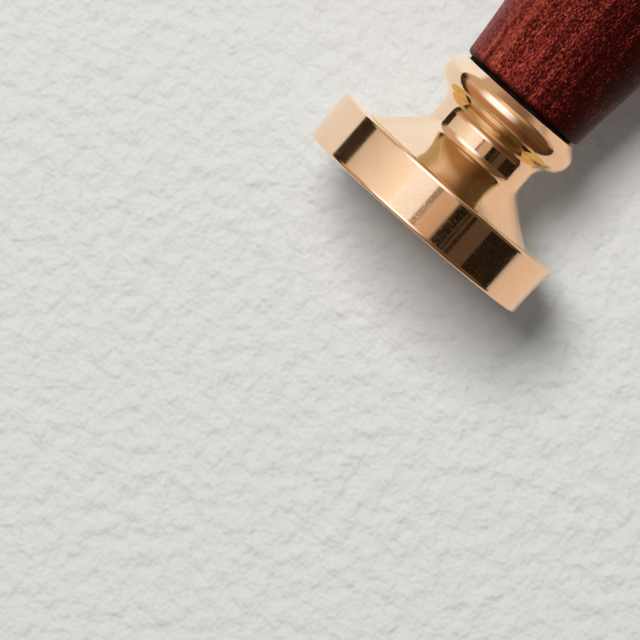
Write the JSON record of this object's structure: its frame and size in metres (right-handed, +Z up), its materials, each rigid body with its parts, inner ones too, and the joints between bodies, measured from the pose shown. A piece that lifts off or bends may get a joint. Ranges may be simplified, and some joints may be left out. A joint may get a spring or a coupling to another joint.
{
  "type": "wax seal stamp",
  "caption": "Hand stamp for sealing wax: a turned brass head with an engraved round die face and a collar, screwed onto a stained, lacquered, pear-shaped wooden handle.",
  "frame": {"origin": "centre of the die face, on the surface that the stamp stands on", "axes": "+Z up along the stamp's axis, from the die face to the handle's domed end"},
  "size_m": [0.025, 0.025, 0.0853],
  "materials": {
    "polished_brass": "polished",
    "black_fibre": "matte",
    "zinc_steel": "satin",
    "stained_wood": "satin lacquer"
  },
  "bodies": {
    "head": {"stamp_head": "polished_brass"},
    "washer": {"seat_washer": "black_fibre"},
    "grip": {"handle": "stained_wood", "threaded_stud": "zinc_steel"}
  },
  "joints": [
    {"name": "washer_rise", "type": "slide", "parent": "head", "child": "washer", "axis": [0, 0, 1], "range_m": [0, 0.007]},
    {"name": "handle_turn", "type": "hinge", "parent": "washer", "child": "grip", "pos_m": [0, 0, 0.0153], "axis": [0, 0, 1], "range_deg": [0, 2520]}
  ],
  "couplings": [
    {"joint": "washer_rise", "follows": "handle_turn", "m_per_rad": 0.00015915}
  ]
}
